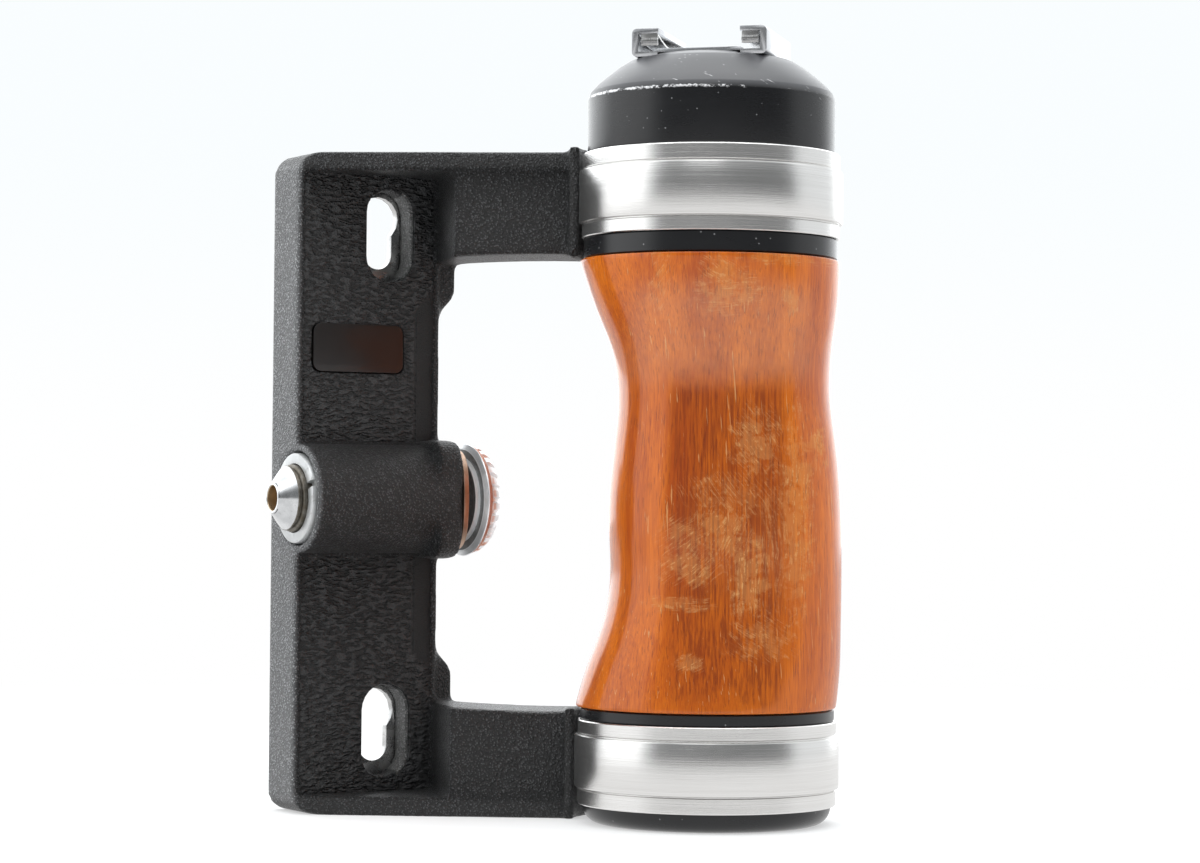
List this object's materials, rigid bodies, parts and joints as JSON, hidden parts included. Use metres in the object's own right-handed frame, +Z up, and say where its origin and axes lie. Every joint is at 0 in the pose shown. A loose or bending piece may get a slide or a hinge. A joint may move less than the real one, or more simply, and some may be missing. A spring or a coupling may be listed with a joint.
{
  "type": "camera side grip",
  "caption": "Shaped wooden hand grip on an angled cast bracket with keyhole slots, a knurled clamp screw with a conical nose, and an accessory shoe on its cap.",
  "frame": {"origin": "centre of the handle's foot, on the surface the part stands on", "axes": "+Z up the handle's axis, +Y out of the bracket plate's back toward the camera, X along the clamp screw with its nose toward -X"},
  "size_m": [0.081, 0.0714, 0.1281],
  "materials": {
    "cast_paint": "black wrinkle paint on an aluminium casting",
    "leatherette": "black grained leatherette",
    "gloss_black": "glossy black",
    "chrome": "polished chrome",
    "steel": "plain turned steel",
    "shoe_plate": "satin-plated pressed steel",
    "bronze": "phosphor bronze spring",
    "brass": "turned brass",
    "aluminium": "satin turned aluminium",
    "black_metal": "satin black anodised aluminium, worn along the edge",
    "wood": "orange-brown lacquered hardwood, scuffed"
  },
  "bodies": {
    "grip": {"base_cap": "black_metal", "lower_ring": "aluminium", "lower_collar": "black_metal", "wood_handle": "wood", "upper_collar": "black_metal", "upper_ring": "aluminium", "top_cap": "black_metal", "core_tube": "aluminium", "tie_rod": "steel", "lower_ring_screw_1": "steel", "lower_ring_screw_2": "steel", "upper_ring_screw_1": "steel", "upper_ring_screw_2": "steel", "bracket": "cast_paint", "leatherette_upper": "leatherette", "leatherette_lower": "leatherette", "name_plate": "gloss_black", "lug_plate_upper": "chrome", "lug_plate_lower": "chrome", "lug_screw_upper_1": "steel", "lug_screw_upper_2": "steel", "lug_screw_lower_1": "steel", "lug_screw_lower_2": "steel", "slotted_nut": "chrome", "thread_bush": "brass", "bush_screw": "steel", "spring_washer": "bronze", "shoe_body": "shoe_plate", "shoe_spring_left": "steel", "shoe_spring_right": "steel", "shoe_screw_1": "steel", "shoe_screw_2": "steel", "shoe_screw_3": "steel", "shoe_screw_4": "steel"},
    "nose": {"nose_cone": "chrome", "nose_pin": "steel"},
    "screw": {"spindle": "steel", "knob": "chrome", "knob_pin": "steel"}
  },
  "joints": [
    {"name": "screw_travel", "type": "slide", "parent": "grip", "child": "nose", "axis": [-1, 0, 0], "range_m": [-0.0022, 0.0006]},
    {"name": "screw_turn", "type": "hinge", "parent": "nose", "child": "screw", "pos_m": [-0.0264, 0.0396, 0.052], "axis": [-1, 0, 0], "range_deg": [-720, 180]}
  ],
  "couplings": [
    {"joint": "screw_travel", "follows": "screw_turn", "m_per_rad": 0.00015915}
  ]
}
